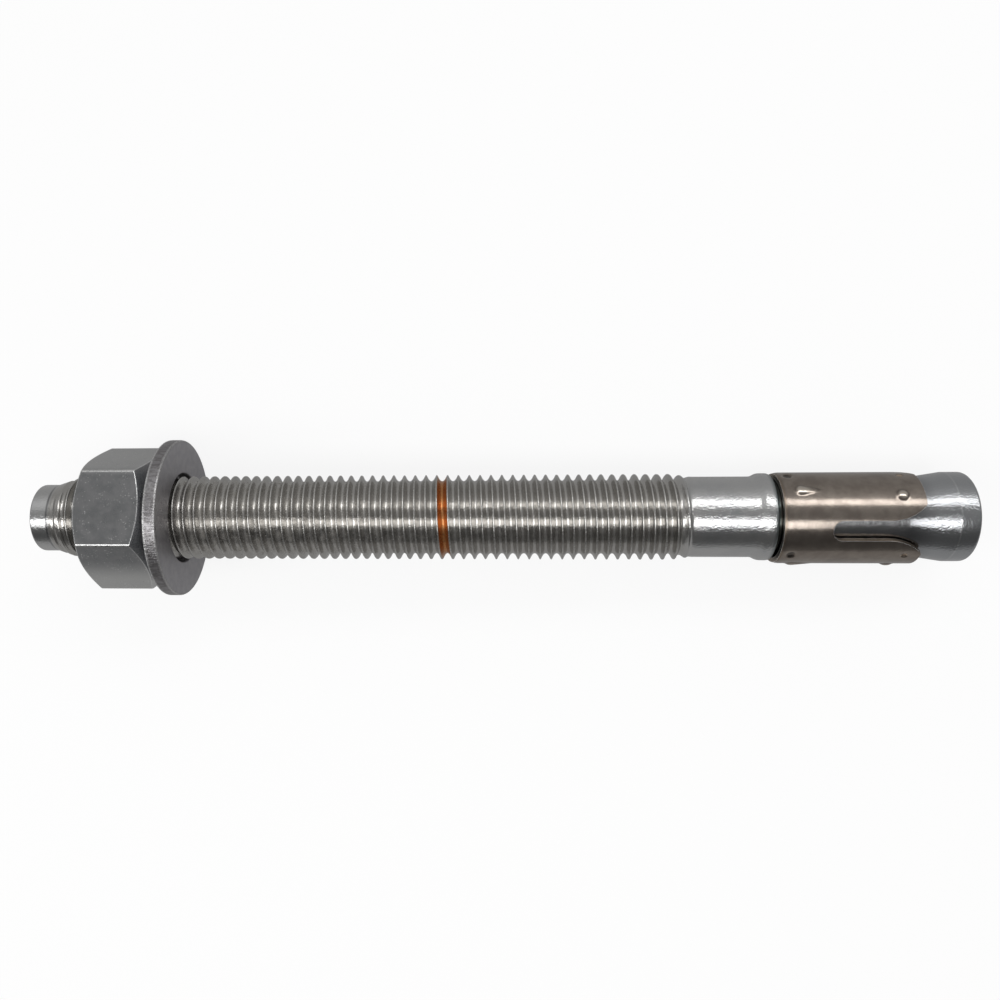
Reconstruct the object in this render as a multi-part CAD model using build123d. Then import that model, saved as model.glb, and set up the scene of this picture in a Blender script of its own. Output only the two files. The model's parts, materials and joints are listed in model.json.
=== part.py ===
from build123d import *
from math import asin, atan2, cos, degrees, radians, tan
import os

# Wedge anchor, M20 x 210: a threaded bolt with a cone at its lower end, a hexagon nut,
# a flat washer, and a slotted sleeve rolled round the neck behind the cone.
# Stations run along the bolt's axis in millimetres, from its outer end at 0 to the cone's end.
# Angles round the axis run from the top of the lying bolt towards +Y.

# ---- driving dimensions: bolt ----
LENGTH = 210.0             # over all
THREAD_RADIUS = 9.80       # major radius of the M20 thread, here a plain cylinder
DOG_RADIUS = 7.85          # unthreaded outer end, which takes the hammer blows
DOG_LENGTH = 3.9
DOG_CHAMFER = 0.65
LEAD_IN_END = 9.65         # station where the thread is at its full radius
THREAD_END = 150.9
RUN_OUT = 1.3              # length of the taper from the thread to the shank
SHANK_RADIUS = 9.08        # blank radius, which the thread was rolled from
COLLAR_START = 164.6
COLLAR_RISE = 1.4
COLLAR_RADIUS = 9.80
COLLAR_FACE = 168.55       # the shoulder that drives the sleeve into the hole
COLLAR_CHAMFER = 0.45
NECK_RADIUS = 8.40
CONE_RADIUS = 9.90         # largest radius of the cone, and of the plug at its end
CONE_ANGLE = 9.2           # half angle in degrees
PLUG_LENGTH = 4.2          # cylinder from the top of the cone to the end of the bolt
PLUG_CHAMFER = 0.55

# ---- driving dimensions: nut and washer ----
NUT_START = 13.2
NUT_HEIGHT = 16.0
NUT_ACROSS_FLATS = 29.4
NUT_CORNER_ROUNDING = 1.5
NUT_FACE_RADIUS = 13.65    # flat end face inside the chamfer
NUT_CHAMFER_ANGLE = 30.0
NUT_BORE_RADIUS = 9.95
NUT_COUNTERSINK = 0.7       # at 45 degrees
NUT_TURN = 9.5             # angle of the upper flat round the axis
WASHER_START = 31.2
WASHER_THICKNESS = 3.0
WASHER_RADIUS = 18.25
WASHER_HOLE_RADIUS = 10.5
WASHER_CHAMFER = 0.5
WASHER_HOLE_CHAMFER = 0.35
WASHER_LIFT = 0.45         # the bolt hangs low in the washer's hole, because the washer carries it

# ---- driving dimensions: expansion sleeve ----
SLEEVE_START = 169.4
SLEEVE_LENGTH = 29.5
SLEEVE_RADIUS = 10.2
SLEEVE_WALL = 1.35
SLEEVE_SIDE_PLAY = -0.25   # the loose sleeve lies a little off the bolt's axis, towards -Y
SLEEVE_DROP = 0.15         # and hangs a little below it
BASE_BEVEL_LENGTH = 1.3
BASE_BEVEL_DEPTH = 0.25
TIP_BEVEL_LENGTH = 2.5     # inside the finger tips, where they climb the cone
TIP_BEVEL_DEPTH = 0.6
TIP_CHAMFER = 0.2
FINGERS = 3
SLOT_TURN = -16.0          # angle of the first slot
SLOT_TIP = 179.5           # station of the slots' round ends
SLOT_WIDTH = 4.6
FLARE_LENGTH = 7.5         # the slot opens in an arc over this length of the finger
FLARE_WIDTH = 3.6
FINGER_CORNER = 1.2
SEAM_WIDTH = 0.35          # butt joint of the rolled strip, from the base into the last slot
BOSS_SPHERE = 2.2          # the punch that raises the bosses
BOSS_HEIGHT = 0.45
TIP_BOSS_STATION = 194.2
TIP_BOSS_TURN = 46.0       # from the slot before it
BASE_BOSS_STATION = 173.3
BASE_BOSS_TURN = 53.0
BASE_BOSS_TAIL = 4.6       # from the head's centre to where the tail sinks into the wall
PIT_DEPTH = 0.4
PIT_STATION = 171.7
PIT_RADIUS = 1.1
PIT_TURN = 83.0            # from the slot before it

MARGIN = 2.0               # how far a cutting tool stands past what it cuts


def turned(*steps):
    """Solid turned about the X axis; a step is a station, a radius and the chamfer of its corner."""
    outline = [(steps[0][0], 0)] + [step[:2] for step in steps] + [(steps[-1][0], 0)]
    profile = make_face(Polyline(*outline, close=True).edges())
    for station, radius, chamfer_length in steps:
        if chamfer_length:
            corner = profile.vertices().sort_by_distance((station, radius))[0]
            profile = chamfer(corner, chamfer_length)
    return revolve(profile, Axis.X)


def round_axis(shape, angle):
    """The shape turned about the bolt's axis, from the top towards +Y."""
    return Rot(X=-angle) * shape


def anchor_bolt():
    """One forged and rolled bar: dog end, thread, shank, driving collar, neck and cone."""
    cone_end = LENGTH - PLUG_LENGTH
    cone_start = cone_end - (CONE_RADIUS - NECK_RADIUS) / tan(radians(CONE_ANGLE))
    return turned(
        (0, DOG_RADIUS, DOG_CHAMFER),
        (DOG_LENGTH, DOG_RADIUS, 0),
        (LEAD_IN_END, THREAD_RADIUS, 0),
        (THREAD_END, THREAD_RADIUS, 0),
        (THREAD_END + RUN_OUT, SHANK_RADIUS, 0),
        (COLLAR_START, SHANK_RADIUS, 0),
        (COLLAR_START + COLLAR_RISE, COLLAR_RADIUS, 0),
        (COLLAR_FACE, COLLAR_RADIUS, COLLAR_CHAMFER),
        (COLLAR_FACE, NECK_RADIUS, 0),
        (cone_start, NECK_RADIUS, 0),
        (cone_end, CONE_RADIUS, 0),
        (LENGTH, CONE_RADIUS, PLUG_CHAMFER),
    )


def hex_nut():
    """Hexagon nut, chamfered on both faces, with a bore that clears the plain thread cylinder."""
    end = NUT_START + NUT_HEIGHT
    flats = RegularPolygon(NUT_ACROSS_FLATS / 2, 6, major_radius=False)
    flats = fillet(flats.vertices(), NUT_CORNER_ROUNDING)
    blank = Pos(X=NUT_START) * extrude(Plane.YZ * flats, NUT_HEIGHT)
    chamfer_length = NUT_HEIGHT / 2
    chamfer_radius = NUT_FACE_RADIUS + chamfer_length / tan(radians(NUT_CHAMFER_ANGLE))
    blank &= turned(
        (NUT_START, NUT_FACE_RADIUS, 0),
        (NUT_START + chamfer_length, chamfer_radius, 0),
        (end, NUT_FACE_RADIUS, 0),
    )
    blank -= turned(
        (NUT_START, NUT_BORE_RADIUS + NUT_COUNTERSINK, 0),
        (NUT_START + NUT_COUNTERSINK, NUT_BORE_RADIUS, 0),
        (end - NUT_COUNTERSINK, NUT_BORE_RADIUS, 0),
        (end, NUT_BORE_RADIUS + NUT_COUNTERSINK, 0),
    )
    return round_axis(blank, NUT_TURN)


def flat_washer():
    """Stamped flat washer with broken edges, standing on its rim round the bolt."""
    end = WASHER_START + WASHER_THICKNESS
    disc = turned(
        (WASHER_START, WASHER_RADIUS, WASHER_CHAMFER),
        (end, WASHER_RADIUS, WASHER_CHAMFER),
    )
    disc -= turned(
        (WASHER_START, WASHER_HOLE_RADIUS + WASHER_HOLE_CHAMFER, 0),
        (WASHER_START + WASHER_HOLE_CHAMFER, WASHER_HOLE_RADIUS, 0),
        (end - WASHER_HOLE_CHAMFER, WASHER_HOLE_RADIUS, 0),
        (end, WASHER_HOLE_RADIUS + WASHER_HOLE_CHAMFER, 0),
    )
    return Pos(Z=WASHER_LIFT) * disc


def slot_tool(tip_station):
    """Cutter for one slot: a round end, straight sides, and sides that flare out round the finger tips."""
    half_width = SLOT_WIDTH / 2
    flare_radius = (FLARE_LENGTH ** 2 + FLARE_WIDTH ** 2) / (2 * FLARE_WIDTH)
    flare_angle = degrees(asin(FLARE_LENGTH / flare_radius))
    round_centre = SLOT_TIP + half_width
    flare_start = tip_station - FLARE_LENGTH
    past = tip_station + MARGIN
    round_end = JernArc((SLOT_TIP, 0), (0, 1), half_width, -90)
    side = Line((round_centre, half_width), (flare_start, half_width))
    flare = JernArc((flare_start, half_width), (1, 0), flare_radius, flare_angle)
    rest = Polyline((tip_station, half_width + FLARE_WIDTH), (tip_station, SLEEVE_RADIUS), (past, SLEEVE_RADIUS),
                    (past, 0), (SLOT_TIP, 0))
    half = make_face([*round_end.edges(), *side.edges(), *flare.edges(), *rest.edges()])
    corner = half.vertices().sort_by_distance((tip_station, half_width + FLARE_WIDTH))[0]
    half = fillet(corner, FINGER_CORNER)
    return extrude(half + mirror(half, Plane.XZ), SLEEVE_RADIUS + MARGIN)


def round_boss():
    """The end of a round punch, set so that it stands proud of the sleeve's wall."""
    depth = SLEEVE_RADIUS + BOSS_HEIGHT - BOSS_SPHERE
    return Pos(TIP_BOSS_STATION, 0, depth) * Sphere(BOSS_SPHERE)


def teardrop_boss():
    """The end of a tapered punch: a round head, and a tail that sinks into the wall."""
    taper = asin(BOSS_HEIGHT / BASE_BOSS_TAIL)
    tail_radius = BOSS_SPHERE / cos(taper) - BASE_BOSS_TAIL * tan(taper)
    head = JernArc((-BOSS_SPHERE, 0), (0, 1), BOSS_SPHERE, degrees(taper) - 90)
    tail = Polyline(head @ 1, (BASE_BOSS_TAIL, tail_radius), (BASE_BOSS_TAIL, 0), (-BOSS_SPHERE, 0))
    profile = make_face([*head.edges(), *tail.edges()])
    depth = SLEEVE_RADIUS + BOSS_HEIGHT - BOSS_SPHERE
    return Pos(BASE_BOSS_STATION, 0, depth) * revolve(profile, Axis.X)


def pit():
    """A shallow round mark of the tool that bent the strip."""
    return Pos(PIT_STATION, 0, SLEEVE_RADIUS + MARGIN / 2) * Cylinder(PIT_RADIUS, MARGIN + 2 * PIT_DEPTH)


def expansion_sleeve():
    """Steel strip with three slots and raised bosses, rolled round the neck to a butt seam."""
    end = SLEEVE_START + SLEEVE_LENGTH
    bore = SLEEVE_RADIUS - SLEEVE_WALL
    sleeve = turned(
        (SLEEVE_START, SLEEVE_RADIUS - BASE_BEVEL_DEPTH, 0),
        (SLEEVE_START + BASE_BEVEL_LENGTH, SLEEVE_RADIUS, 0),
        (end, SLEEVE_RADIUS, TIP_CHAMFER),
    )
    turns = [SLOT_TURN + finger * 360 / FINGERS for finger in range(FINGERS)]
    for turn in turns:
        sleeve += round_axis(round_boss(), turn + TIP_BOSS_TURN)
        sleeve += round_axis(teardrop_boss(), turn + BASE_BOSS_TURN)
    sleeve -= turned(
        (SLEEVE_START - MARGIN, bore, 0),
        (end - TIP_BEVEL_LENGTH, bore, 0),
        (end, bore + TIP_BEVEL_DEPTH, 0),
    )
    slot = slot_tool(end)
    for turn in turns:
        sleeve -= round_axis(slot, turn)
        sleeve -= round_axis(pit(), turn + PIT_TURN)
    seam_length = SLOT_TIP + SLOT_WIDTH / 2 - SLEEVE_START + MARGIN
    seam = Box(seam_length, SEAM_WIDTH, SLEEVE_RADIUS + MARGIN, align=(Align.MIN, Align.CENTER, Align.MIN))
    sleeve -= round_axis(Pos(X=SLEEVE_START - MARGIN) * seam, turns[-1])
    return Pos(0, SLEEVE_SIDE_PLAY, -SLEEVE_DROP) * sleeve


def resting_tilt():
    """Slope in degrees of a bolt that lies on the edges of the washer's rim and of its plug."""
    run = (LENGTH - PLUG_CHAMFER) - (WASHER_START + WASHER_THICKNESS - WASHER_CHAMFER)
    drop = (WASHER_RADIUS - WASHER_LIFT) - CONE_RADIUS
    return degrees(atan2(drop, run))


nodes = {
    "anchor_bolt": anchor_bolt(),
    "hex_nut": hex_nut(),
    "flat_washer": flat_washer(),
    "expansion_sleeve": expansion_sleeve(),
}

# The anchor lies with its axis over X, the cone towards +X and lower than the nut.
slope = Rot(Y=resting_tilt())
box = Compound(children=[slope * shape for shape in nodes.values()]).bounding_box()
place = Pos(-box.center().X, -box.center().Y, -box.min.Z) * slope

os.makedirs("parts", exist_ok=True)
for name, shape in nodes.items():
    lying = place * shape
    lying.label = name
    export_step(lying, f"parts/{name}.step")
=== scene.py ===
import json
import math
import bmesh
import bpy
from mathutils import Matrix, Vector


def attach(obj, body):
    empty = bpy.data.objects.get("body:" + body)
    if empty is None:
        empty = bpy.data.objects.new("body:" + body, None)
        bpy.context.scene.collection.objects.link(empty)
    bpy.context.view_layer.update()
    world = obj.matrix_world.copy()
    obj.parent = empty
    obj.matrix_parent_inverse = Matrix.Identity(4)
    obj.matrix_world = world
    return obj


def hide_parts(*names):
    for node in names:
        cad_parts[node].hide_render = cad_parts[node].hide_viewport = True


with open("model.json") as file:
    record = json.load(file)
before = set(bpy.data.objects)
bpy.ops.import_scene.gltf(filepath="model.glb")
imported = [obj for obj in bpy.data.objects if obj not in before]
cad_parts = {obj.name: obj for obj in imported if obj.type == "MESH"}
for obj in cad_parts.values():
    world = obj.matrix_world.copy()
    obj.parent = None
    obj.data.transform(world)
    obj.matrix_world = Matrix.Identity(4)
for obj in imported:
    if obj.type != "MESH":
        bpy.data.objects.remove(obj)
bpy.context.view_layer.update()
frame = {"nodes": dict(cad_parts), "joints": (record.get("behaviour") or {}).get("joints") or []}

# ---- How the anchor lies ----
# The anchor lies on its washer and on the end of its cone, so its axis slopes down towards the cone.
# Each piece is made in millimetres, x along the axis from the bolt's outer end, y across and z up,
# and one matrix then lays it down.

MM = 0.001

joints = {joint["name"]: joint for joint in frame["joints"]}
bolt_axis = Vector(joints["nut_turn"]["axis"]).normalized()
across = Vector((0, 1, 0))
upward = bolt_axis.cross(across)
laid = Matrix((bolt_axis * MM, across * MM, upward * MM)).transposed().to_4x4()
laid.translation = Vector(joints["nut_turn"]["pos_m"])
first_station = min((laid.inverted() @ v.co).x for v in frame["nodes"]["anchor_bolt"].data.vertices)
laid.translation += bolt_axis * first_station * MM


def measured(node):
    """Lowest and highest corner of a CAD node in the bolt's own frame, in millimetres."""
    points = [laid.inverted() @ v.co for v in frame["nodes"][node].data.vertices]
    low = Vector([min(p[i] for p in points) for i in range(3)])
    high = Vector([max(p[i] for p in points) for i in range(3)])
    return low, high


def laid_down(mesh):
    """The mesh in metres, where the anchor lies, with smooth faces."""
    mesh.transform(laid)
    mesh.shade_smooth()
    return mesh


# ---- Anchor bolt ----
# One bar of carbon steel with a plain driving end, a rolled thread, a collar, a waisted neck and a
# cone, bright zinc plated. The thread is a true right-hand helix: a lead-in cuts its start, and it
# fades into the shank at its end.

DOG_RADIUS = 7.85
DOG_LENGTH = 3.9
DOG_ROUNDING = 0.65
LEAD_IN_END = 9.65           # station where the thread reaches its full radius
THREAD_PITCH = 2.5
THREAD_RADIUS = 9.72
THREAD_DEPTH = 1.40
THREAD_PHASE = 1.4           # station of a crest on the +Y side
THREAD_FIRST = 5.2
THREAD_LAST = 151.5
RUN_OUT = 4.5                # over which the thread fades into the shank
SHANK_RADIUS = 9.08
COLLAR_START = 164.6
COLLAR_RISE = 1.4
COLLAR_RADIUS = 9.8
COLLAR_FACE = 168.55
COLLAR_ROUNDING = 0.9
NECK_RADIUS = 8.4
CONE_RADIUS = 9.9
CONE_ANGLE = 9.2             # half angle in degrees
PLUG_LENGTH = 4.2
PLUG_ROUNDING = 0.8
BOLT_LENGTH = 210.0
END_ROUNDING = 0.2           # at the dog point's end, the neck's start and the cone's end
COLLAR_ROOT_ROUNDING = 0.5
COLLAR_EDGE_ROUNDING = 0.6
NECK_ROUNDING = 1.5          # where the neck runs into the cone
COLUMNS = 96                 # facets round every turned surface of the bolt and the washer
THREAD_ROWS = 15             # rows of facets in one pitch
HALF_CREST = 0.05            # half widths of the flat crest and the curved root, in pitches
HALF_ROOT = 0.37
CREST_CROWDING = 0.08        # how far the rows of facets are drawn towards the crests, in pitches
DENTS_ALONG = 0.35           # how fast the dents in the crests change along the axis
DENTS_ROUND = 3.0            # and round it
DENT_NOISE = (0.50, 0.72)    # noise at which a dent begins and is deepest
DENT_DEPTH = 0.06
SPARE_TURNS = 2              # turns wound past the thread's ends, which cut them off
WELD = 0.004                 # points closer than this are made one


class Socket:
    """An output in a node tree: arithmetic on it adds Math nodes, node() adds any other node."""

    def __init__(self, tree, output):
        self.tree = tree
        self.output = output

    def node(self, kind, settings=None, inputs=None):
        """First output of a new node. Its settings come first; a list links several sockets to one input."""
        made = self.tree.nodes.new(kind)
        for name, value in (settings or {}).items():
            if name == "stops":
                set_stops(made.color_ramp, value)
            else:
                setattr(made, name, value)
        for key, value in (inputs or {}).items():
            links = value if isinstance(value, list) else [value]
            for link in links:
                if isinstance(link, Socket):
                    self.tree.links.new(link.output, made.inputs[key])
                else:
                    made.inputs[key].default_value = link
        return Socket(self.tree, made.outputs[0])

    def out(self, key):
        """Another output of the same node."""
        return Socket(self.tree, self.output.node.outputs[key])

    def maths(self, operation, *others):
        return self.node("ShaderNodeMath", {"operation": operation}, dict(enumerate((self, *others))))

    def between(self, low, high):
        """0 at low, 1 at high and smooth in between."""
        sizes = {"Value": self, "From Min": low, "From Max": high}
        return self.node("ShaderNodeMapRange", {"interpolation_type": "SMOOTHSTEP"}, sizes)

    def __add__(self, other):
        return self.maths("ADD", other)

    __radd__ = __add__

    def __sub__(self, other):
        return self.maths("SUBTRACT", other)

    def __rsub__(self, other):
        return self * -1.0 + other

    def __mul__(self, other):
        return self.maths("MULTIPLY", other)

    def __truediv__(self, other):
        return self.maths("DIVIDE", other)


def set_stops(ramp, stops):
    """Gives a colour ramp the listed positions and colours."""
    while len(ramp.elements) < len(stops):
        ramp.elements.new(0.5)
    for element, (position, colour) in zip(ramp.elements, stops):
        element.position = position
        element.color = colour


def rounded(corners, steps=5):
    """Outline through the corners (station, radius, rounding), each rounding a short curve."""
    outline = []
    for i, (station, radius, rounding) in enumerate(corners):
        corner = Vector((station, radius))
        if not rounding:
            outline.append(corner)
            continue
        before = Vector(corners[i - 1][:2])
        after = Vector(corners[i + 1][:2])
        start = corner + (before - corner).normalized() * rounding
        end = corner + (after - corner).normalized() * rounding
        for step in range(steps + 1):
            t = step / steps
            outline.append(start.lerp(corner, t).lerp(corner.lerp(end, t), t))
    return outline


def ring_angle(column, columns=COLUMNS):
    """Angle of a column round the axis, from the +Y side over the top."""
    return 2 * math.pi * column / columns


def add_turned(shape, outline):
    """Turns an outline about the axis; an end of the outline that is off the axis stays open."""
    rings = []
    for station, radius in outline:
        if radius:
            ring = [shape.verts.new((station, radius * math.cos(a), radius * math.sin(a)))
                    for a in map(ring_angle, range(COLUMNS))]
        else:
            ring = [shape.verts.new((station, 0, 0))] * COLUMNS
        rings.append(ring)
    for ring, following in zip(rings, rings[1:]):
        for i in range(COLUMNS):
            j = (i + 1) % COLUMNS
            corners = dict.fromkeys((ring[i], ring[j], following[j], following[i]))
            shape.faces.new(corners)


def mesh_from(shape, name):
    """Mesh of what has been built up in bmesh."""
    mesh = bpy.data.meshes.new(name)
    shape.to_mesh(mesh)
    shape.free()
    return mesh


def new_tree(name, **inputs):
    """A geometry node tree and its inputs by name, which are listed by their kind."""
    tree = bpy.data.node_groups.new(name, "GeometryNodeTree")
    for kind, labels in inputs.items():
        for label in labels:
            tree.interface.new_socket(label, in_out="INPUT", socket_type="NodeSocket" + kind)
    tree.interface.new_socket("Piece", in_out="OUTPUT", socket_type="NodeSocketGeometry")
    entry = tree.nodes.new("NodeGroupInput")
    given = {output.name: Socket(tree, output) for output in entry.outputs if output.name}
    return tree, given


def end_tree(tree, geometry, material):
    """Makes the geometry, in its material, what the tree gives."""
    realized = geometry.node("GeometryNodeRealizeInstances", None, {"Geometry": geometry})
    finished = realized.node("GeometryNodeSetMaterial", None, {
        "Geometry": realized, "Material": material})
    leave = tree.nodes.new("NodeGroupOutput")
    tree.links.new(finished.output, leave.inputs[0])


def thread_tree():
    """Node tree that winds a grid round the axis as a screw thread and welds it to the turned ends."""
    tree, given = new_tree(
        "wound_thread",
        Geometry=["Turned ends"],
        Float=["Pitch", "Crest radius", "Depth", "Phase", "First station", "Last station",
               "Lead-in radius", "Lead-in slope", "Run-out", "Blank radius", "Countersink radius",
               "Wear"],
        Int=["Turns", "Columns"],
        Bool=["Inward"],
        Material=["Finish"])
    pitch, phase = given["Pitch"], given["Phase"]
    first, last = given["First station"], given["Last station"]

    # The grid's x runs once round the axis and its y along the thread's turns, closer at the crests.
    place = pitch.node("GeometryNodeInputPosition")
    round_axis = place.node("ShaderNodeSeparateXYZ", None, {"Vector": place})
    turn = (round_axis.out("Y") + 0.5) * given["Turns"]
    round_axis = round_axis + 0.5
    crowded = turn - (turn * (2 * math.pi)).maths("SINE") * CREST_CROWDING
    start_turn = ((first - phase) / pitch).maths("FLOOR") - 1.0
    station = phase + (start_turn + crowded + round_axis) * pitch
    station = station.maths("MAXIMUM", first).maths("MINIMUM", last)

    # The profile, in pitches: a narrow crest, straight flanks and a broad round root.
    steepness = 1 / (0.5 - HALF_CREST - HALF_ROOT / 2)
    turns_from_crest = (station - phase) / pitch - round_axis
    off_crest = ((turns_from_crest + 0.5).maths("FRACT") - 0.5).maths("ABSOLUTE")
    off_root = 0.5 - off_crest
    in_root = off_root.maths("MINIMUM", HALF_ROOT)
    height = in_root * in_root * (steepness / HALF_ROOT / 2) + (off_root - in_root) * steepness
    height = height.maths("MINIMUM", 1.0)
    fade = ((last - station) / given["Run-out"]).maths("MINIMUM", 1.0)
    full = given["Crest radius"] - given["Depth"] * (1.0 - height)
    radius = given["Blank radius"] + (full - given["Blank radius"]) * fade

    # Handling has dented the crests here and there.
    angle = round_axis * (2 * math.pi)
    spot = angle.node("ShaderNodeCombineXYZ", None, {
        "X": station * DENTS_ALONG,
        "Y": angle.maths("COSINE") * DENTS_ROUND,
        "Z": angle.maths("SINE") * DENTS_ROUND})
    dents = angle.node("ShaderNodeTexNoise", {"noise_dimensions": "3D"},
                       {"Vector": spot, "Scale": 1.0, "Detail": 3.0, "Roughness": 0.6})
    radius = radius - dents.between(*DENT_NOISE) * given["Wear"] * height * fade

    lead_in = given["Lead-in radius"] + (station - first) * given["Lead-in slope"]
    radius = radius.maths("MINIMUM", lead_in)
    near_end = (station - first).maths("MINIMUM", last - station)
    radius = radius.maths("MAXIMUM", given["Countersink radius"] - near_end)

    grid = pitch.node("GeometryNodeMeshGrid", None, {
        "Size X": 1.0, "Size Y": 1.0,
        "Vertices X": given["Columns"] + 1.0, "Vertices Y": given["Turns"] * THREAD_ROWS + 1.0})
    wound = angle.node("ShaderNodeCombineXYZ", None, {
        "X": station, "Y": radius * angle.maths("COSINE"), "Z": radius * angle.maths("SINE")})
    thread = grid.node("GeometryNodeSetPosition", None, {"Geometry": grid, "Position": wound})
    thread = thread.node("GeometryNodeFlipFaces", None, {"Mesh": thread, "Selection": given["Inward"]})
    joined = thread.node("GeometryNodeJoinGeometry", None, {"Geometry": [given["Turned ends"], thread]})
    welded = joined.node("GeometryNodeMergeByDistance", None, {"Geometry": joined, "Distance": WELD})
    end_tree(tree, welded, given["Finish"])
    return tree


def made_by(tree, name, mesh, sizes):
    """Object with the plain mesh that a node tree makes of the given mesh and sizes."""
    piece = bpy.data.objects.new(name, mesh)
    bpy.context.scene.collection.objects.link(piece)
    modifier = piece.modifiers.new("shape", "NODES")
    modifier.node_group = tree
    for item in tree.interface.items_tree:
        if item.in_out == "INPUT" and item.name in sizes:
            modifier[item.identifier] = sizes[item.name]
    graph = bpy.context.evaluated_depsgraph_get()
    made = bpy.data.meshes.new_from_object(piece.evaluated_get(graph), depsgraph=graph)
    piece.modifiers.remove(modifier)
    piece.data = made
    return piece


def thread_turns(first, last):
    """Turns to wind for a thread between two stations, with the spare ones."""
    return math.ceil((last - first) / THREAD_PITCH) + SPARE_TURNS


lead_in_slope = (THREAD_RADIUS - DOG_RADIUS) / (LEAD_IN_END - DOG_LENGTH)
lead_in_radius = DOG_RADIUS + (THREAD_FIRST - DOG_LENGTH) * lead_in_slope
cone_end = BOLT_LENGTH - PLUG_LENGTH
cone_start = cone_end - (CONE_RADIUS - NECK_RADIUS) / math.tan(math.radians(CONE_ANGLE))

bolt_ends = bmesh.new()
add_turned(bolt_ends, rounded([
    (0, 0, 0),
    (0, DOG_RADIUS, DOG_ROUNDING),
    (DOG_LENGTH, DOG_RADIUS, END_ROUNDING),
    (THREAD_FIRST, lead_in_radius, 0),
]))
add_turned(bolt_ends, rounded([
    (THREAD_LAST, SHANK_RADIUS, 0),
    (COLLAR_START, SHANK_RADIUS, COLLAR_ROOT_ROUNDING),
    (COLLAR_START + COLLAR_RISE, COLLAR_RADIUS, COLLAR_EDGE_ROUNDING),
    (COLLAR_FACE, COLLAR_RADIUS, COLLAR_ROUNDING),
    (COLLAR_FACE, NECK_RADIUS, END_ROUNDING),
    (cone_start, NECK_RADIUS, NECK_ROUNDING),
    (cone_end, CONE_RADIUS, END_ROUNDING),
    (BOLT_LENGTH, CONE_RADIUS, PLUG_ROUNDING),
    (BOLT_LENGTH, 0, 0),
]))


def new_material(name):
    """A metal's material, its shader and coordinates along the bolt's own axes in millimetres."""
    material = bpy.data.materials.new(name)
    material.use_nodes = True
    tree = material.node_tree
    shader = tree.nodes["Principled BSDF"]
    shader.inputs["Metallic"].default_value = 1.0
    start = Socket(tree, tree.nodes.new("ShaderNodeTexCoord").outputs["Object"])
    place = start.node("ShaderNodeMapping", {"vector_type": "TEXTURE"}, {
        "Vector": start, "Location": laid.translation, "Rotation": laid.to_euler(), "Scale": (MM, MM, MM)})
    return material, shader, place


def station_and_radius(place, centre_y=0.0, centre_z=0.0):
    """Station of a place and its distance from a centre line, which may lie off the bolt's axis."""
    station = place.node("ShaderNodeSeparateXYZ", None, {"Vector": place})
    y, z = station.out("Y") - centre_y, station.out("Z") - centre_z
    return station, (y * y + z * z).maths("SQRT")


def noise(place, size, detail=3.0, stretch=(1, 1, 1)):
    """Noise from 0 to 1, its blots about size millimetres wide, times stretch along each axis."""
    scale = tuple(1 / (size * share) for share in stretch)
    scaled = place.node("ShaderNodeVectorMath", {"operation": "MULTIPLY"}, {0: place, 1: scale})
    return scaled.node("ShaderNodeTexNoise", None, {
        "Vector": scaled, "Scale": 1.0, "Detail": detail, "Roughness": 0.6})


def mixed(amount, colour, other):
    """A colour that turns to the other one where amount is 1."""
    return amount.node("ShaderNodeMix", {"data_type": "RGBA"}, {0: amount, 6: colour, 7: other}).out(2)


def near(value, centre, reach):
    """1 where the value is at the centre, falling to 0 at the given reach from it."""
    return (value - centre).maths("ABSOLUTE").between(reach, 0.0)


def finish(shader, colour, roughness, relief, metallic=None):
    """Links a material's colour, roughness, metallic share and its surface's relief in millimetres."""
    tree = shader.id_data
    bump = relief.node("ShaderNodeBump", None, {"Height": relief, "Strength": 1.0, "Distance": MM})
    tree.links.new(colour.output, shader.inputs["Base Color"])
    tree.links.new(roughness.output, shader.inputs["Roughness"])
    tree.links.new(bump.output, shader.inputs["Normal"])
    if metallic:
        tree.links.new(metallic.output, shader.inputs["Metallic"])


ZINC = (0.50, 0.505, 0.51, 1)
SMEARED_ZINC = (0.56, 0.56, 0.555, 1)
THREAD_ZINC = (0.475, 0.462, 0.442, 1)
# paler zinc: worn crests, and painted glints and highlights on edges
WEAR_AND_GLINT_ZINC = (0.80, 0.80, 0.79, 1)
BLUE_ZINC = (0.42, 0.428, 0.438, 1)      # of the cone and the end past it
DIRT = (0.085, 0.072, 0.050, 1)
NECK_AND_DOG_SHADE = (0.10, 0.10, 0.105, 1)           # painted shade on the neck under the sleeve and in a dark line at the end of the dog point
COLLAR_SHADE = (0.10, 0.13, 0.13, 1)
PAINT = (0.47, 0.19, 0.05, 1)
PAINTED_GROOVE = 37.5        # turns of the helix from THREAD_PHASE to the groove with a ring of paint
GREASE_BEGINS = (18.0, 26.0)             # stations at which there is none yet and at which it has set in
GREASE_THINS = (110.0, 35.0)             # stations at which it is least and at which it is full
LEAST_GREASE = 0.25
BOLT_ROUGHNESS = 0.13
SHADE_REACH = 6              # how far the painted shade on the neck reaches up the cone as it fades

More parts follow.
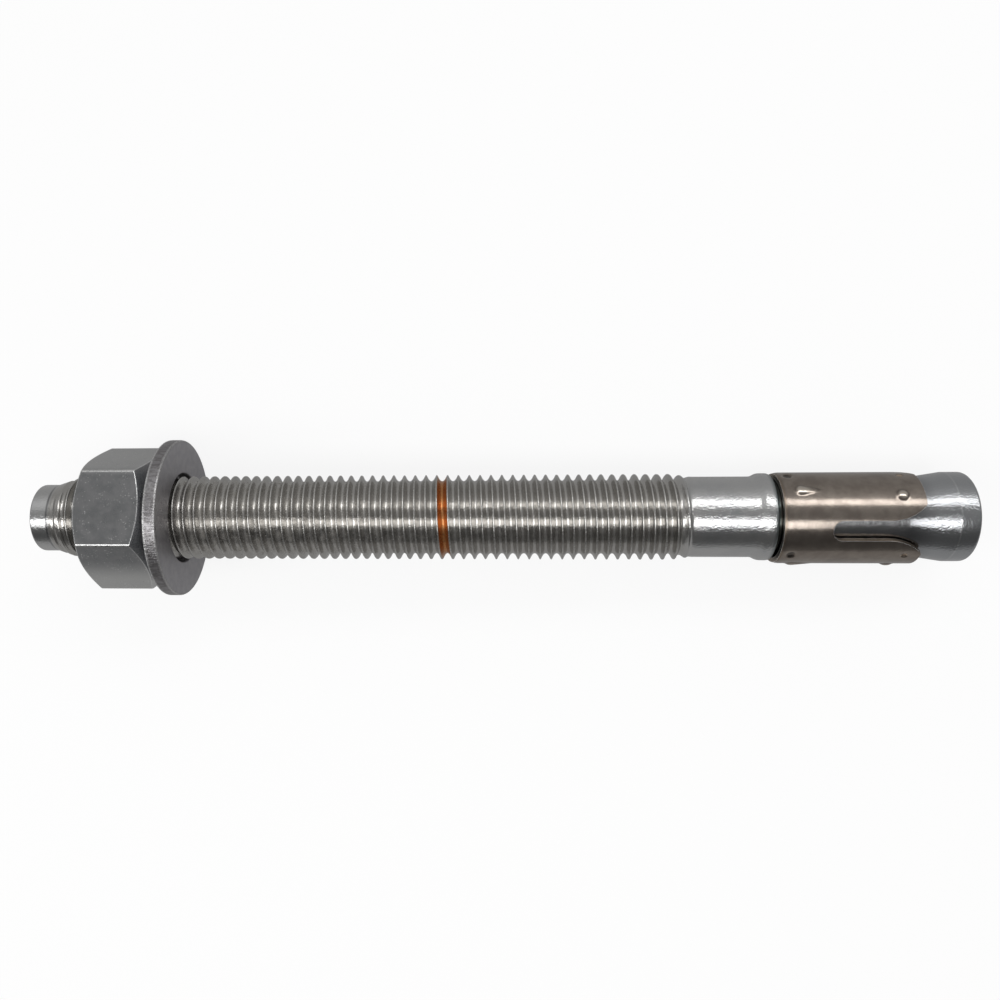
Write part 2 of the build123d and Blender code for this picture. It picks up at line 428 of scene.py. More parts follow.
bolt_zinc, shader, place = new_material("bolt_zinc")
station, radius = station_and_radius(place)
y, z = station.out("Y"), station.out("Z")
turned_by = ((y * -1.0).maths("ARCTAN2", z) + math.pi / 2) / (2 * math.pi)
fine, blots, smears = noise(place, 0.14), noise(place, 2.4), noise(place, 9.0)
on_thread = station.between(DOG_LENGTH, THREAD_FIRST)
on_thread = on_thread * station.between(THREAD_LAST, THREAD_LAST - RUN_OUT)
crest = on_thread * radius.between(THREAD_RADIUS - 0.22, THREAD_RADIUS - 0.04)
root = on_thread * radius.between(THREAD_RADIUS - 0.5, THREAD_RADIUS - THREAD_DEPTH)
greasy = station.between(*GREASE_THINS) * (1 - LEAST_GREASE) + LEAST_GREASE
greasy = greasy * station.between(*GREASE_BEGINS)
dirt = root * greasy * blots.between(0.35, 0.70) * 0.55
specks = on_thread * greasy * noise(place, 0.35, 2.0).between(0.60, 0.68)
dirt = (dirt + specks * 0.5).maths("MINIMUM", 1.0)
past_neck = station.between(cone_start - 2, cone_start)
# painted highlights along the cone's end and the plug's rim, and worn crests with painted glints
tip_edge = near(radius, CONE_RADIUS - 0.35, 0.25) * near(station, BOLT_LENGTH - 0.25, 0.4)
edge = past_neck * (near(station, cone_end, 0.25) * 0.3 + tip_edge).maths("MINIMUM", 1.0)
wear_and_glints = (crest * fine.between(0.50, 0.62) * 0.5 + edge * fine.between(0.35, 0.55)).maths("MINIMUM", 1.0)
colour = mixed(smears.between(0.35, 0.65), ZINC, SMEARED_ZINC)
colour = mixed(on_thread, colour, THREAD_ZINC)
colour = mixed(past_neck, colour, BLUE_ZINC)
shaded = station.between(COLLAR_FACE, COLLAR_FACE + 0.2)
shaded = shaded * station.between(cone_start + SHADE_REACH, cone_start - 1)
# painted shade: darker on the neck under the sleeve and in a line where the dog point ends
painted_shade = shaded * 0.65 + near(station, DOG_LENGTH + 0.2, 0.5) * 0.7
colour = mixed(painted_shade, colour, NECK_AND_DOG_SHADE)
colour = mixed(near(station, COLLAR_FACE, 1.4), colour, COLLAR_SHADE)
colour = mixed(wear_and_glints, colour, WEAR_AND_GLINT_ZINC)
colour = mixed(dirt * 0.9, colour, DIRT)
groove = (station - THREAD_PHASE) / THREAD_PITCH - turned_by
painted = near(groove, PAINTED_GROOVE, 0.5).between(0.0, 0.15)
colour = mixed(painted * 0.92, colour, PAINT)
roughness = BOLT_ROUGHNESS + blots * 0.07 + crest * 0.10 + dirt * 0.30
roughness = roughness + painted * 0.10 - past_neck * 0.05
grain = noise(place, 0.42, 2.0) * (0.060 - on_thread * 0.035 - shaded * 0.050)
relief = fine * 0.008 + grain + noise(place, 1.3) * 0.035
finish(shader, colour, roughness, relief, 1.0 - dirt * 0.75 - painted * 0.05)

wound_thread = thread_tree()
bolt = made_by(wound_thread, "anchor_bolt_plated", mesh_from(bolt_ends, "bolt_ends"), {
    "Pitch": THREAD_PITCH, "Crest radius": THREAD_RADIUS, "Depth": THREAD_DEPTH, "Phase": THREAD_PHASE,
    "First station": THREAD_FIRST, "Last station": THREAD_LAST, "Lead-in radius": lead_in_radius,
    "Lead-in slope": lead_in_slope, "Run-out": RUN_OUT, "Blank radius": SHANK_RADIUS,
    "Countersink radius": 0.0, "Wear": DENT_DEPTH, "Turns": thread_turns(THREAD_FIRST, THREAD_LAST),
    "Columns": COLUMNS, "Inward": False, "Finish": bolt_zinc})
laid_down(bolt.data)
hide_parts("anchor_bolt")
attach(bolt, "bolt")


# ---- Flat washer ----
# Stamped from sheet steel: its edges are rounded, and the punch has torn its rim. It hangs loose
# round the thread and carries the bolt's weight on its rim.

WASHER_ROUNDING = 0.55
WASHER_HOLE_RADIUS = 10.5
HOLE_ROUNDING = 0.35
RIM_BAND = (0.75, 0.1)       # depths below the rim at which its torn look begins and is full
WASHER_ZINC = (0.43, 0.42, 0.44, 1)
WASHER_ZINC_PALE = (0.49, 0.48, 0.495, 1)
TORN_STEEL = (0.20, 0.19, 0.19, 1)
WASHER_ROUGHNESS = 0.42

low, high = measured("flat_washer")
washer_centre = (low + high) / 2
washer_radius = (high.y - low.y) / 2
washer_shape = bmesh.new()
washer_outline = rounded([
    (low.x, WASHER_HOLE_RADIUS, HOLE_ROUNDING),
    (low.x, washer_radius, WASHER_ROUNDING),
    (high.x, washer_radius, WASHER_ROUNDING),
    (high.x, WASHER_HOLE_RADIUS, HOLE_ROUNDING),
    (low.x, WASHER_HOLE_RADIUS, 0),
])
washer_outline[-1] = washer_outline[0]
add_turned(washer_shape, washer_outline)
bmesh.ops.remove_doubles(washer_shape, verts=washer_shape.verts, dist=WELD)
bmesh.ops.translate(washer_shape, verts=washer_shape.verts, vec=(0, washer_centre.y, washer_centre.z))
washer_mesh = mesh_from(washer_shape, "flat_washer_plated")

washer_zinc, shader, place = new_material("washer_zinc")
station, radius = station_and_radius(place, washer_centre.y, washer_centre.z)
fine, blots = noise(place, 0.18), noise(place, 1.8)
rim = radius.between(washer_radius - RIM_BAND[0], washer_radius - RIM_BAND[1])
# painted highlights along the rim's rounded edges
edges = (near(station, low.x + 0.25, 0.5) + near(station, high.x - 0.2, 0.35) * 0.6) * rim
torn = rim * noise(place, 0.5, 4.0, (3.0, 1, 1)).between(0.40, 0.62)
colour = mixed(blots.between(0.35, 0.65), WASHER_ZINC, WASHER_ZINC_PALE)
colour = mixed(rim * 0.5 + torn * 0.4, colour, TORN_STEEL)
colour = mixed((edges * fine.between(0.35, 0.55)).maths("MINIMUM", 1.0), colour, WEAR_AND_GLINT_ZINC)
scratches = noise(place, 0.25, 2.0, (1, 1, 14)).between(0.60, 0.72)
roughness = WASHER_ROUGHNESS + blots * 0.12 - rim * 0.12 + scratches * 0.08
finish(shader, colour, roughness, fine * 0.006 + torn * 0.03 + scratches * 0.004)

washer = bpy.data.objects.new("flat_washer_plated", laid_down(washer_mesh))
washer_mesh.materials.append(washer_zinc)
bpy.context.scene.collection.objects.link(washer)
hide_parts("flat_washer")
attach(washer, "washer")


# ---- Hexagon nut ----
# Cold forged M20 nut, chamfered at 30 degrees on both faces, with rounded corners, countersunk and
# tapped. Its thread is the bolt's own helix with a little room, so it turns along it.

NUT_ACROSS_FLATS = 29.4
NUT_CORNER = 0.8
NUT_FACE_RADIUS = 13.65
NUT_CHAMFER = 30.0
NUT_COUNTERSINK_RADIUS = 10.65
NUT_TURN = 9.5               # how far the upper flat has turned from the top towards +Y
NUT_CLEARANCE = 0.12
NUT_COLUMNS = 192
SIDE_COLUMNS = NUT_COLUMNS // 6
FLAT_COLUMNS = 20            # as many of these lie on the flat, the others on its corners
SIDE_TURN = math.pi / 3      # angle from one side of the hexagon to the next
NUT_FACE_ROUNDING = 0.3
NUT_CHAMFER_ROUNDING = 0.22
NO_RUN_OUT = 0.01            # so short that the nut's thread doesn't fade
PALE_TO_PLUS_Y = (9.5, 12.0)           # places across at which the paler side flats begin and are full
PALE_TO_MINUS_Y = (-9.0, -14.5)
NUT_ZINC = (0.26, 0.265, 0.27, 1)
NUT_ZINC_PALE = (0.30, 0.30, 0.305, 1)
CHAMFER_SHADE = (0.12, 0.155, 0.165, 1)
PALE_FLAT_ZINC = (0.62, 0.62, 0.61, 1)
NUT_ROUGHNESS = 0.24

low, high = measured("hex_nut")
nut_first, nut_last = low.x, high.x


def side_point(column):
    """Point of a side that faces along x, or of the half corners past it, by column from its middle."""
    flat = NUT_ACROSS_FLATS / 2
    corner_centre = flat - NUT_CORNER
    half_side = corner_centre * math.tan(SIDE_TURN / 2)
    half_columns = FLAT_COLUMNS / 2
    if abs(column) <= half_columns:
        return Vector((flat, half_side * column / half_columns))
    beyond = abs(column) - half_columns
    turn = SIDE_TURN / 2 * beyond / (SIDE_COLUMNS / 2 - half_columns)
    y = half_side + NUT_CORNER * math.sin(turn)
    return Vector((corner_centre + NUT_CORNER * math.cos(turn), math.copysign(y, column)))


def nut_column(column):
    """Rounded section of the nut from bore to bore, in one column, as points of (x, y, z)."""
    first_flat = math.radians(90 - NUT_TURN) % SIDE_TURN
    offset = column - round(first_flat / ring_angle(1, NUT_COLUMNS))
    side = round(offset / SIDE_COLUMNS)
    point = side_point(offset - side * SIDE_COLUMNS)
    edge = point.length
    angle = first_flat + side * SIDE_TURN + math.atan2(point.y, point.x)
    drop = (edge - NUT_FACE_RADIUS) * math.tan(math.radians(NUT_CHAMFER))
    outline = rounded([
        (nut_first, NUT_COUNTERSINK_RADIUS, 0),
        (nut_first, NUT_FACE_RADIUS, NUT_FACE_ROUNDING),
        (nut_first + drop, edge, NUT_CHAMFER_ROUNDING),
        (nut_last - drop, edge, NUT_CHAMFER_ROUNDING),
        (nut_last, NUT_FACE_RADIUS, NUT_FACE_ROUNDING),
        (nut_last, NUT_COUNTERSINK_RADIUS, 0),
    ], steps=3)
    points = [(s, r * math.cos(angle), r * math.sin(angle)) for s, r in outline]
    bore = [NUT_COUNTERSINK_RADIUS * f(ring_angle(column, NUT_COLUMNS)) for f in (math.cos, math.sin)]
    points[0] = (nut_first, *bore)
    points[-1] = (nut_last, *bore)
    return points


nut_shape = bmesh.new()
nut_columns = [[nut_shape.verts.new(p) for p in nut_column(i)] for i in range(NUT_COLUMNS)]
for column, following in zip(nut_columns, nut_columns[1:] + nut_columns[:1]):
    for i in range(len(column) - 1):
        nut_shape.faces.new((column[i], following[i], following[i + 1], column[i + 1]))

nut_zinc, shader, place = new_material("nut_zinc")
station, radius = station_and_radius(place)
y, z = station.out("Y"), station.out("Z")
fine, blots = noise(place, 0.16), noise(place, 2.2)
from_middle = (station - (nut_first + nut_last) / 2).maths("ABSOLUTE")
from_end = from_middle * -1.0 + (nut_last - nut_first) / 2
chamfer_depth = (radius - NUT_FACE_RADIUS) * math.tan(math.radians(NUT_CHAMFER))
on_chamfer = (from_end - chamfer_depth).between(0.25, -0.05) * from_end.between(0.05, 0.2)
chamfer_line = near(from_end - chamfer_depth, 0.10, 0.16)
corner_radius = (NUT_ACROSS_FLATS / 2 - NUT_CORNER) / math.cos(SIDE_TURN / 2) + NUT_CORNER
corner = radius.between(corner_radius - 0.10, corner_radius - 0.02)
face_line = near(radius, NUT_FACE_RADIUS, 0.25) * from_end.between(0.4, 0.0)
# worn edges and painted highlights along the chamfers, the corners and the faces' rims
wear_and_glints = (chamfer_line + corner + face_line).maths("MINIMUM", 1.0)
wear_and_glints = wear_and_glints * noise(place, 0.22, 3.0).between(0.34, 0.54)
# tiny bright specks: painted glints
specks = noise(place, 0.33, 1.0).between(0.67, 0.70) * noise(place, 3.0).between(0.47, 0.56)
# the side flats towards +Y and -Y are paler
pale_flats = y.between(*PALE_TO_PLUS_Y) * 0.55 + y.between(*PALE_TO_MINUS_Y) * 0.9
ground = noise(place, 0.16, 2.0, (30, 1, 1)) * z.between(2.0, -4.0)
colour = mixed(blots.between(0.35, 0.65), NUT_ZINC, NUT_ZINC_PALE)
colour = mixed(on_chamfer * 0.6, colour, CHAMFER_SHADE)
colour = mixed(pale_flats, colour, PALE_FLAT_ZINC)
colour = mixed((wear_and_glints + specks * 0.9).maths("MINIMUM", 1.0), colour, WEAR_AND_GLINT_ZINC)
roughness = NUT_ROUGHNESS + blots * 0.10 + ground * 0.1
finish(shader, colour, roughness, fine * 0.005 + ground * 0.008 + wear_and_glints * fine * 0.01)

nut = made_by(wound_thread, "hex_nut_plated", mesh_from(nut_shape, "nut_blank"), {
    "Pitch": THREAD_PITCH, "Crest radius": THREAD_RADIUS + NUT_CLEARANCE, "Depth": THREAD_DEPTH,
    "Phase": THREAD_PHASE, "First station": nut_first, "Last station": nut_last,
    "Lead-in radius": 2 * NUT_FACE_RADIUS, "Lead-in slope": 0.0, "Run-out": NO_RUN_OUT,
    "Blank radius": NUT_COUNTERSINK_RADIUS, "Countersink radius": NUT_COUNTERSINK_RADIUS,
    "Wear": 0.0, "Turns": thread_turns(nut_first, nut_last), "Columns": NUT_COLUMNS,
    "Inward": True, "Finish": nut_zinc})
laid_down(nut.data)
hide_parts("hex_nut")
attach(nut, "nut")


# ---- Expansion sleeve ----
# Steel strip, blanked flat with three slots and punched bosses, then rolled round the neck until its
# ends nearly meet. The collar drives it into the hole, and the cone spreads its fingers.

SLEEVE_RADIUS = 10.2
SLEEVE_WALL = 1.35
SLEEVE_CENTRE = (-0.25, -0.15)   # where the loose sleeve lies off the bolt's axis, across and up
BASE_BEVEL = (1.3, 0.25)         # length and depth, outside the base
TIP_BEVEL = (2.5, 0.6)           # and inside the finger tips
BASE_BEVEL_POWER = 1.5           # over 1, so that the bevel curves into the outer face
FINGERS = 3
SLOT_TURN = -16.0
SLOT_TIP = 179.5
SLOT_WIDTH = 4.6
SLOT_END_STEPS = 8
FLARE = (7.5, 3.6)               # length of the arc in which a slot's edges open, and how far each does
FINGER_CORNER = 1.2
CORNER_STEPS = 4
SEAM_WIDTH = 0.35
BOSS_SPHERE = 2.2
BOSS_HEIGHT = 0.45
TIP_BOSS = (194.2, 46.0)         # station, and angle from the slot before it
BASE_BOSS = (173.3, 53.0)
BASE_BOSS_TAIL = 4.6
TAIL_NARROWING = 0.35            # share of its radius that the boss loses along its tail
PITS = [(171.7, 83.0, 1.1), (195.6, 83.0, 0.75)]     # station and angle as above, and radius
PIT_DEPTH = 0.4
PIT_STEEPNESS = 3
SLEEVE_STEP = 0.34               # size of the sheet's facets
SHARP_EDGE = math.radians(55)
CUT_ROUNDING = 0.11
SLEEVE_STEEL = (0.26, 0.222, 0.193, 1)
SLEEVE_STEEL_PALE = (0.34, 0.297, 0.258, 1)
CUT_STEEL = (0.46, 0.37, 0.29, 1)
BOSS_HIGHLIGHT_STEEL = (0.72, 0.66, 0.58, 1)
BOSS_FOOT_SHADE = (0.07, 0.06, 0.055, 1)
PIT_SHADE = (0.05, 0.045, 0.04, 1)
SLEEVE_ROUGHNESS = 0.11

low, high = measured("expansion_sleeve")
sleeve_first, sleeve_last = low.x, high.x
finger_width = 2 * math.pi * SLEEVE_RADIUS / FINGERS


def slot_edge():
    """Stations of the sheet's rows from base to tip, each with the slot's half width there."""
    half = SLOT_WIDTH / 2
    flare_length, flare_width = FLARE
    flare_radius = (flare_length ** 2 + flare_width ** 2) / (2 * flare_width)
    flare_start = sleeve_last - flare_length
    steps = round((SLOT_TIP - sleeve_first) / SLEEVE_STEP)
    rows = [(sleeve_first + (SLOT_TIP - sleeve_first) * i / steps, 0.0) for i in range(steps)]
    for i in range(SLOT_END_STEPS + 1):
        turn = math.pi / 2 * i / SLOT_END_STEPS
        rows.append((SLOT_TIP + half * (1 - math.cos(turn)), half * math.sin(turn)))
    straight = flare_start - SLOT_TIP - half
    steps = round(straight / SLEEVE_STEP)
    rows += [(SLOT_TIP + half + straight * i / steps, half) for i in range(1, steps + 1)]
    corner_start = math.asin((flare_length - FINGER_CORNER / 4) / flare_radius)
    steps = round(flare_length / SLEEVE_STEP)
    for i in range(1, steps + 1):
        turn = corner_start * i / steps
        rows.append((flare_start + flare_radius * math.sin(turn),
                     half + flare_radius * (1 - math.cos(turn))))
    station, width = rows[-1]
    for i in range(1, CORNER_STEPS + 1):
        turn = corner_start + (math.pi / 2 - corner_start) * i / CORNER_STEPS
        reach = (math.sin(turn) - math.sin(corner_start)) / (1 - math.sin(corner_start))
        rows.append((station + (sleeve_last - station) * reach,
                     width + FINGER_CORNER * (math.cos(corner_start) - math.cos(turn))))
    return rows


def punched(station, place):
    """How far the punches raise or sink the sheet's outer face at a point of one finger's width."""
    height = 0.0
    boss_at = TIP_BOSS[1] / 360 * FINGERS * finger_width
    away = math.hypot(station - TIP_BOSS[0], place - boss_at)
    rise = BOSS_HEIGHT - BOSS_SPHERE + math.sqrt(max(BOSS_SPHERE ** 2 - away ** 2, 0))
    height = max(height, rise)
    boss_at = BASE_BOSS[1] / 360 * FINGERS * finger_width
    along = station - BASE_BOSS[0]
    tail = min(max(along / BASE_BOSS_TAIL, 0), 1)
    away = math.hypot(along if along < 0 else 0, place - boss_at)
    sphere = BOSS_SPHERE * (1 - TAIL_NARROWING * tail)
    rise = BOSS_HEIGHT * (1 - tail) - sphere + math.sqrt(max(sphere ** 2 - away ** 2, 0))
    height = max(height, rise)
    for pit_station, pit_turn, pit_radius in PITS:
        pit_at = pit_turn / 360 * FINGERS * finger_width
        away = math.hypot(station - pit_station, place - pit_at) / pit_radius
        if away < 1:
            height -= PIT_DEPTH * min(1, PIT_STEEPNESS * (1 - away))
    return height


def faces_at(station, place):
    """Heights of the sheet's inner and outer face above the rolled sleeve's bore."""
    from_base = (station - sleeve_first) / BASE_BEVEL[0]
    from_tip = (sleeve_last - station) / TIP_BEVEL[0]
    outer = SLEEVE_WALL - BASE_BEVEL[1] * max(1 - from_base, 0) ** BASE_BEVEL_POWER
    inner = TIP_BEVEL[1] * max(1 - from_tip, 0)
    return inner, outer + punched(station, place)


def flat_finger():
    """One finger's share of the blank: x along the anchor, y along the strip, z through the sheet."""
    shape = bmesh.new()
    columns = round(finger_width / SLEEVE_STEP)
    sheets = ([], [])
    rows = slot_edge()
    for station, half in rows:
        for side, sheet in enumerate(sheets):
            row = []
            for i in range(columns + 1):
                place = half + (finger_width - 2 * half) * i / columns
                row.append(shape.verts.new((station, place, faces_at(station, place)[side])))
            sheet.append(row)
    inner, outer = sheets
    for row in range(len(rows) - 1):
        for i in range(columns):
            shape.faces.new((outer[row][i], outer[row + 1][i],
                             outer[row + 1][i + 1], outer[row][i + 1]))
            shape.faces.new((inner[row][i], inner[row][i + 1],
                             inner[row + 1][i + 1], inner[row + 1][i]))
        if rows[row][1] or rows[row + 1][1]:
            shape.faces.new((inner[row][0], inner[row + 1][0], outer[row + 1][0], outer[row][0]))
            shape.faces.new((outer[row][-1], outer[row + 1][-1], inner[row + 1][-1], inner[row][-1]))
    for i in range(columns):
        shape.faces.new((inner[0][i], outer[0][i], outer[0][i + 1], inner[0][i + 1]))
        shape.faces.new((inner[-1][i], inner[-1][i + 1], outer[-1][i + 1], outer[-1][i]))
    return mesh_from(shape, "flat_finger")


def rolled_tree():
    """Node tree that lays equal fingers side by side as one strip and rolls it to a butt seam."""
    tree, given = new_tree(
        "rolled_strip",
        Geometry=["Flat finger"],
        Float=["Finger width", "Bore radius", "Outer radius", "Seam width", "Seam turn", "Centre y",
               "Centre z"],
        Int=["Fingers"],
        Material=["Finish"])
    width = given["Finger width"]
    step = width.node("ShaderNodeCombineXYZ", None, {"Y": width})
    line = step.node("GeometryNodeMeshLine", None, {"Count": given["Fingers"], "Offset": step})
    strip = line.node("GeometryNodeInstanceOnPoints", None, {
        "Points": line, "Instance": given["Flat finger"]})
    strip = strip.node("GeometryNodeRealizeInstances", None, {"Geometry": strip})
    strip = strip.node("GeometryNodeMergeByDistance", None, {"Geometry": strip, "Distance": WELD})
    place = strip.node("GeometryNodeInputPosition")
    along = place.node("ShaderNodeSeparateXYZ", None, {"Vector": place})
    strip_length = width * given["Fingers"]
    seam_angle = given["Seam width"] / given["Outer radius"]
    share = along.out("Y") / strip_length
    angle = given["Seam turn"] + seam_angle * 0.5 + share * (2 * math.pi - seam_angle)
    radius = given["Bore radius"] + along.out("Z")
    rolled = angle.node("ShaderNodeCombineXYZ", None, {
        "X": along,
        "Y": radius * angle.maths("SINE") + given["Centre y"],
        "Z": radius * angle.maths("COSINE") + given["Centre z"]})
    sleeve = strip.node("GeometryNodeSetPosition", None, {"Geometry": strip, "Position": rolled})
    end_tree(tree, sleeve, given["Finish"])
    return tree


def close_and_bevel(mesh):
    """Closes the two ends of the strip at the seam and takes the sharpness off all its cut edges."""
    shape = bmesh.new()
    shape.from_mesh(mesh)
    ends = [edge for edge in shape.edges if edge.is_boundary]
    bmesh.ops.holes_fill(shape, edges=ends, sides=0)
    bmesh.ops.recalc_face_normals(shape, faces=shape.faces)
    sharp = [edge for edge in shape.edges if edge.is_manifold and edge.calc_face_angle() > SHARP_EDGE]
    bmesh.ops.bevel(shape, geom=sharp, offset=CUT_ROUNDING, segments=2, profile=0.5, affect="EDGES",
                    clamp_overlap=True)
    shape.to_mesh(mesh)
    shape.free()


sleeve_steel, shader, place = new_material("sleeve_steel")
station, radius = station_and_radius(place, *SLEEVE_CENTRE)
fine, blots = noise(place, 0.13), noise(place, 1.9)
bore_radius = SLEEVE_RADIUS - SLEEVE_WALL
cut = radius.between(SLEEVE_RADIUS - 0.06, SLEEVE_RADIUS - 0.22)
cut = cut * radius.between(bore_radius - 0.05, bore_radius + 0.2)
pit = near(station, PITS[0][0], 2 * PITS[0][2]) * cut
cut = cut - pit
raised = radius.between(SLEEVE_RADIUS + 0.18, SLEEVE_RADIUS + 0.36)
foot = near(radius, SLEEVE_RADIUS + 0.08, 0.07)
base = station.between(sleeve_first + 1.0, sleeve_first + 0.2)
rolled_grain = noise(place, 0.10, 2.0, (10, 1, 1))
colour = mixed(noise(place, 3.5).between(0.3, 0.7), SLEEVE_STEEL, SLEEVE_STEEL_PALE)
colour = mixed(cut, colour, CUT_STEEL)
# painted highlight on the bosses' raised tops
colour = mixed(raised * 0.7, colour, BOSS_HIGHLIGHT_STEEL)
# painted shade round the bosses' feet and at the sleeve's base end
colour = mixed(foot * 0.45 + base * 0.5, colour, BOSS_FOOT_SHADE)
colour = mixed(pit * 0.8, colour, PIT_SHADE)
roughness = SLEEVE_ROUGHNESS + blots * 0.06 + fine * 0.04 + cut * 0.12
waves = noise(place, 2.2) * 0.018
relief = fine * 0.003 + noise(place, 0.3, 2.0) * 0.010 + rolled_grain * 0.002 + waves
finish(shader, colour, roughness, relief)

sleeve = made_by(rolled_tree(), "expansion_sleeve_rolled", flat_finger(), {
    "Finger width": finger_width, "Bore radius": bore_radius, "Outer radius": SLEEVE_RADIUS,
    "Seam width": SEAM_WIDTH, "Seam turn": math.radians(SLOT_TURN - 360 / FINGERS),
    "Centre y": SLEEVE_CENTRE[0], "Centre z": SLEEVE_CENTRE[1], "Fingers": FINGERS,
    "Finish": sleeve_steel})
close_and_bevel(sleeve.data)
laid_down(sleeve.data)
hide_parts("expansion_sleeve")
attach(sleeve, "sleeve")


# ---- Floor, light and camera ----
# A pale floor under a long strip softbox and a wider, dimmer one. A grey tent arches over the anchor
# and shows only in reflections. It is darkest on the -Y side and gives the metal its dark bands.

FLOOR_REACH = 3.0
FLOOR_WHITENESS = 0.85       # how far the floor that the camera sees is lifted to white, shadow and all
FLOOR_COLOUR = (0.86, 0.86, 0.86, 1)
FLOOR_ROUGHNESS = 0.9
CARD_TONE = 0.26             # brightness of the grey card that stands in for the floor in reflections
CARD_COVER = 0.8             # and how much of the floor it hides there
WHITE = (1, 1, 1, 1)
BLACK = (0, 0, 0, 1)
TENT_RADIUS = 0.9
TENT_REACH = 1.6
TENT_STEP = 10               # degrees of the tent's arch in one face
# Angles from above towards +Y in degrees, and the tent's brightness there.
TENT_TONES = [(-90, 0.19), (-75, 0.12), (-60, 0.10), (-45, 0.12), (-30, 0.18), (-4, 0.32), (10, 0.32),
              (24, 0.40), (33, 0.60), (50, 0.70), (62, 0.55), (78, 0.42), (90, 0.40)]


def stage_piece(name, points, faces):
    """A mesh of the studio, which isn't part of the anchor, and its material's shader."""
    mesh = bpy.data.meshes.new(name)
    mesh.from_pydata(points, [], faces)
    piece = bpy.data.objects.new(name, mesh)
    bpy.context.scene.collection.objects.link(piece)
    material = bpy.data.materials.new(name)
    material.use_nodes = True
    mesh.materials.append(material)
    return piece, material.node_tree.nodes["Principled BSDF"]


floor_points = [(x * FLOOR_REACH, y * FLOOR_REACH, 0) for x, y in [(-1, -1), (1, -1), (1, 1), (-1, 1)]]
shader = stage_piece("floor", floor_points, [(0, 1, 2, 3)])[1]
shader.inputs["Base Color"].default_value = FLOOR_COLOUR
shader.inputs["Roughness"].default_value = FLOOR_ROUGHNESS
tree = shader.id_data
seen = Socket(tree, tree.nodes.new("ShaderNodeLightPath").outputs["Is Camera Ray"])
white = seen.node("ShaderNodeEmission", None, {"Color": WHITE, "Strength": 1.0})
card = seen.node("ShaderNodeEmission", None, {"Color": WHITE, "Strength": CARD_TONE})
shown = seen.node("ShaderNodeMixShader", None, {
    0: seen.out("Is Glossy Ray") * CARD_COVER, 1: Socket(tree, shader.outputs[0]), 2: card})
shown = seen.node("ShaderNodeMixShader", None, {0: seen * FLOOR_WHITENESS, 1: shown, 2: white})
tree.links.new(shown.output, tree.nodes["Material Output"].inputs["Surface"])

tent_turns = [math.radians(turn) for turn in range(-90, 91, TENT_STEP)]
tent_points = [(x, TENT_RADIUS * math.sin(turn), TENT_RADIUS * math.cos(turn))
               for turn in tent_turns for x in (-TENT_REACH, TENT_REACH)]
tent_faces = [(i, i + 1, i + 3, i + 2) for i in range(0, len(tent_points) - 2, 2)]
tent, shader = stage_piece("tent", tent_points, tent_faces)
tree = shader.id_data
start = Socket(tree, tree.nodes.new("ShaderNodeTexCoord").outputs["Object"])
round_tent = start.node("ShaderNodeSeparateXYZ", None, {"Vector": start})
turn = round_tent.out("Y").maths("ARCTAN2", round_tent.out("Z")) / math.pi + 0.5
tone = turn.node("ShaderNodeValToRGB", {"stops": [
    ((degrees + 90) / 180, (grey, grey, grey, 1)) for degrees, grey in TENT_TONES]}, {"Fac": turn})
shader.inputs["Base Color"].default_value = BLACK
shader.inputs["Specular IOR Level"].default_value = 0.0
shader.inputs["Emission Strength"].default_value = 1.0
tree.links.new(tone.output, shader.inputs["Emission Color"])
tent.visible_camera = False
tent.visible_diffuse = False
tent.visible_shadow = False


def softbox(name, x_range, turns, height, radiance):
    """Area light over the anchor, between two places along x and two angles from above towards +Y."""
    low, high = (height * math.tan(math.radians(turn)) for turn in turns)
    light = bpy.data.lights.new(name, "AREA")
    light.shape = "RECTANGLE"
    light.size = x_range[1] - x_range[0]
    light.size_y = high - low
    light.energy = radiance * math.pi * light.size * light.size_y
    lamp = bpy.data.objects.new(name, light)
    bpy.context.scene.collection.objects.link(lamp)
    lamp.location = ((x_range[0] + x_range[1]) / 2, (low + high) / 2, height)
    lamp.visible_camera = False


LAMP_HEIGHT = 0.5
softbox("strip_softbox", (-1.30, 0.29), (-25, -7), LAMP_HEIGHT, 3.4)
softbox("wide_softbox", (-0.12, 0.80), (33, 47), LAMP_HEIGHT, 2.8)

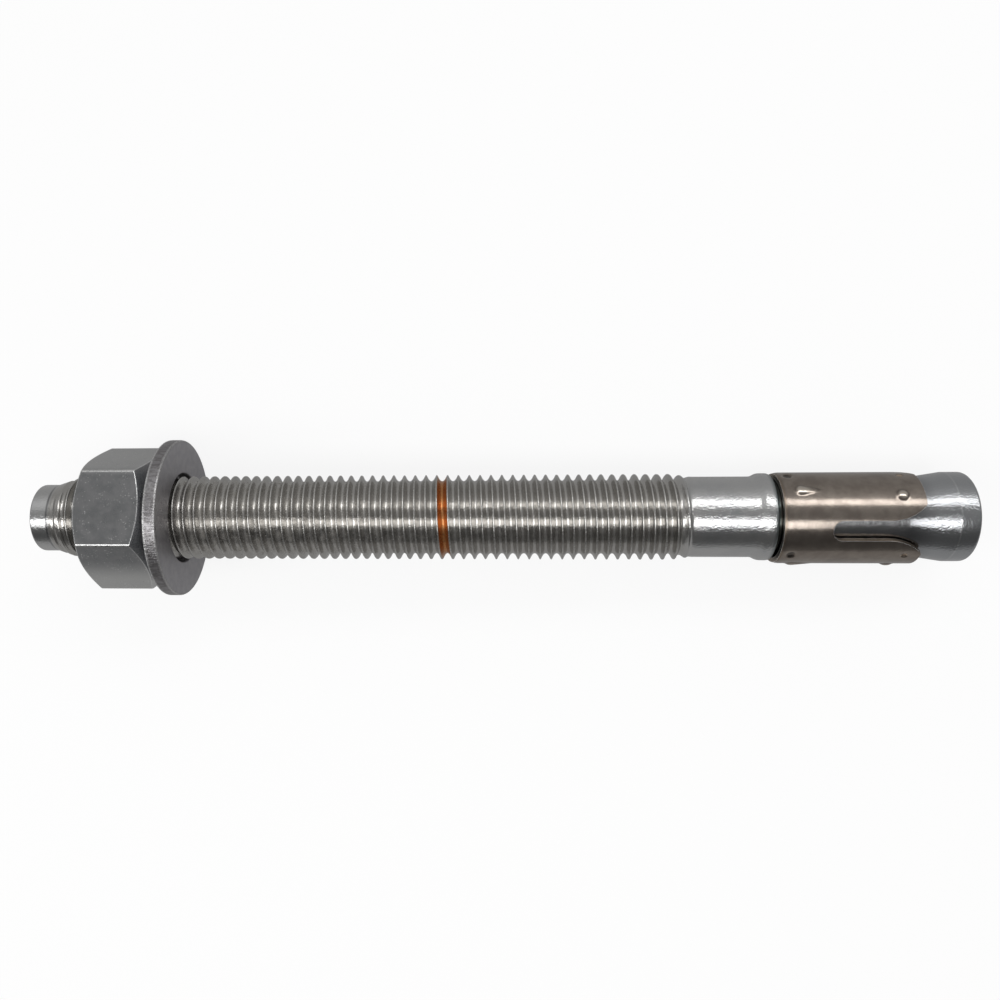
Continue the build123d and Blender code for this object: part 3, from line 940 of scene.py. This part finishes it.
WORLD_FILL = 0.5             # what the white surroundings give as light
MIRRORED_WORLD = 0.25        # and how bright they are in reflections, past the ends of the tent
world = bpy.data.worlds.new("studio")
bpy.context.scene.world = world
world.use_nodes = True
background = world.node_tree.nodes["Background"]
light_path = world.node_tree.nodes.new("ShaderNodeLightPath")
seen = Socket(world.node_tree, light_path.outputs["Is Camera Ray"])
mirrored = seen.out("Is Glossy Ray")
strength = WORLD_FILL + seen * (1 - WORLD_FILL) - mirrored * (WORLD_FILL - MIRRORED_WORLD)
background.inputs["Color"].default_value = WHITE
world.node_tree.links.new(strength.output, background.inputs["Strength"])

FRAME_SIZE = 1000            # pixels
SENSOR = 36                  # millimetres
FOCAL = 870.0                # focal length in the frame's pixels
CAMERA_TURN = 4.24           # how far the view leans from the bolt's own upward, in degrees
CAMERA_ROLL = -0.16
CENTRE_X = 435.8             # column of the frame that the camera's axis meets
LOOK_STATION = 41.4          # a point of the axis, its place in the frame and its depth in millimetres
LOOK_PIXEL = (215.26, 516.8)
LOOK_DEPTH = 205.5

lean = math.radians(CAMERA_TURN)
right = bolt_axis * math.cos(lean) - upward * math.sin(lean)
backward = upward * math.cos(lean) + bolt_axis * math.sin(lean)
look = laid @ Vector((LOOK_STATION, 0, 0))
to_side = (LOOK_PIXEL[0] - CENTRE_X) / FOCAL * LOOK_DEPTH * MM
to_top = (FRAME_SIZE / 2 - LOOK_PIXEL[1]) / FOCAL * LOOK_DEPTH * MM
camera_data = bpy.data.cameras.new("camera")
camera_data.sensor_width = SENSOR
camera_data.lens = FOCAL / FRAME_SIZE * SENSOR
camera_data.shift_x = (FRAME_SIZE / 2 - CENTRE_X) / FRAME_SIZE
camera = bpy.data.objects.new("camera", camera_data)
bpy.context.scene.collection.objects.link(camera)
camera.matrix_world = Matrix((right, across, backward)).transposed().to_4x4() @ Matrix.Rotation(
    math.radians(CAMERA_ROLL), 4, "Z")
camera.location = look - right * to_side - across * to_top + backward * LOOK_DEPTH * MM
bpy.context.scene.camera = camera
bpy.context.scene.view_settings.view_transform = "Standard"
